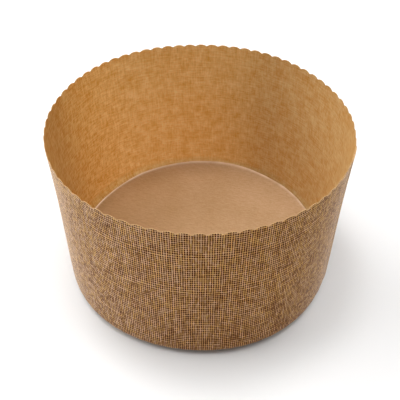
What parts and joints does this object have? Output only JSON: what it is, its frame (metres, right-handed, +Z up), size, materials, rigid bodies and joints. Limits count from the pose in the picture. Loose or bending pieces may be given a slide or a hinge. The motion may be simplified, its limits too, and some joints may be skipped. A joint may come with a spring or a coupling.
{
  "type": "round paper baking mold for panettone",
  "caption": "Round free-standing paper mold for panettone, open at the top, with a scalloped edge, a rounded heel and a glued-in paper base disc.",
  "frame": {"origin": "centre of the underside, on the table that the mold stands on", "axes": "+Z up along the mold's axis, towards the open top; -Y towards the front of the picture; +X to its right"},
  "size_m": [0.154, 0.154, 0.093],
  "materials": {
    "wall_paper": "kraft baking paper, printed outside with a fine linen weave in gold and brown, plain inside",
    "disc_paper": "plain pale kraft baking paper, matt, with faint fibre streaks"
  },
  "bodies": {
    "root": {"side_wall": "wall_paper", "base_disc": "disc_paper"}
  },
  "joints": []
}
